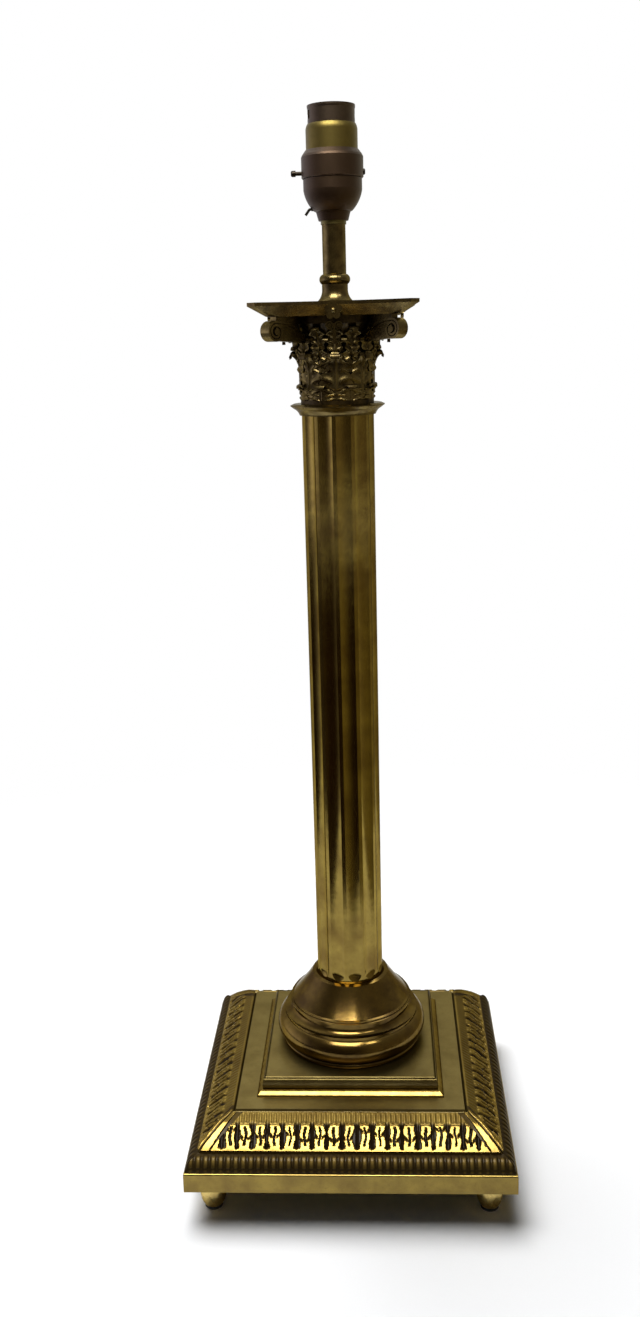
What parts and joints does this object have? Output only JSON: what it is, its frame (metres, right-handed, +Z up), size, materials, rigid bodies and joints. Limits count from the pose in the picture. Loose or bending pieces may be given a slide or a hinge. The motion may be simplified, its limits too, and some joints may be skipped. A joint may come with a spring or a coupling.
{
  "type": "table lamp",
  "caption": "Column table lamp with a stepped square base on small feet, a fluted shaft, a Corinthian capital and a push-bar bayonet lampholder, without bulb or shade.",
  "frame": {"origin": "on the floor under the axis of the column, in the middle of the base", "axes": "+Z up along the column, -Y towards the viewer of the picture, +X to the right"},
  "size_m": [0.2, 0.2, 0.6386],
  "materials": {
    "aged_brass": "polished, darkened with age",
    "holder_brass": "dull, darkened with age",
    "contact_brass": "bright",
    "steel": "plain",
    "spring_steel": "plain",
    "iron": "rough cast",
    "pad_rubber": "matte",
    "bush_plastic": "satin",
    "dark_resin": "glossy, slightly worn",
    "insulator": "satin"
  },
  "bodies": {
    "stand": {"base_plinth": "aged_brass", "base_frame": "aged_brass", "border_leaves": "aged_brass", "base_weight": "iron", "rod_washer": "steel", "rod_nut": "steel", "tie_rod": "steel", "foot_front_left": "aged_brass", "foot_front_right": "aged_brass", "foot_rear_left": "aged_brass", "foot_rear_right": "aged_brass", "foot_pads": "pad_rubber", "cord_bush": "bush_plastic", "column_torus": "aged_brass", "column_cup": "aged_brass", "column_tube": "aged_brass", "column_foot_disc": "steel", "column_head_disc": "steel", "neck_ring": "aged_brass", "capital_bell": "aged_brass", "capital_leaves": "aged_brass", "corner_volutes": "aged_brass", "face_scrolls": "aged_brass", "abacus": "aged_brass", "abacus_rosettes": "aged_brass", "stem_base": "aged_brass", "stem_collar": "aged_brass", "stem_tube": "aged_brass", "entry_bush": "holder_brass", "holder_cap": "dark_resin", "holder_body": "dark_resin", "switch_contacts": "contact_brass", "contact_block": "insulator", "contact_terminals": "contact_brass", "terminal_screws": "contact_brass", "plunger_spring_front": "spring_steel", "plunger_spring_rear": "spring_steel", "bayonet_barrel": "holder_brass", "skirt_ring": "holder_brass"},
    "push_bar": {"push_bar": "holder_brass"},
    "plunger_front": {"plunger_front": "contact_brass"},
    "plunger_rear": {"plunger_rear": "contact_brass"},
    "locking_screw": {"locking_screw": "holder_brass"}
  },
  "joints": [
    {"name": "push_bar_slide", "type": "slide", "parent": "stand", "child": "push_bar", "axis": [1, 0, 0], "range_m": [0, 0.0049]},
    {"name": "plunger_front_slide", "type": "slide", "parent": "stand", "child": "plunger_front", "axis": [0, 0, -1], "range_m": [0, 0.0025], "stiffness_N_per_m": 600, "springref_m": -0.001, "deforming": ["plunger_spring_front"]},
    {"name": "plunger_rear_slide", "type": "slide", "parent": "stand", "child": "plunger_rear", "axis": [0, 0, -1], "range_m": [0, 0.0025], "stiffness_N_per_m": 600, "springref_m": -0.001, "deforming": ["plunger_spring_rear"]},
    {"name": "locking_screw_turn", "type": "hinge", "parent": "stand", "child": "locking_screw", "pos_m": [-0.0095, 0, 0.585], "axis": [1, 0, 0], "range_deg": [0, 90]}
  ]
}
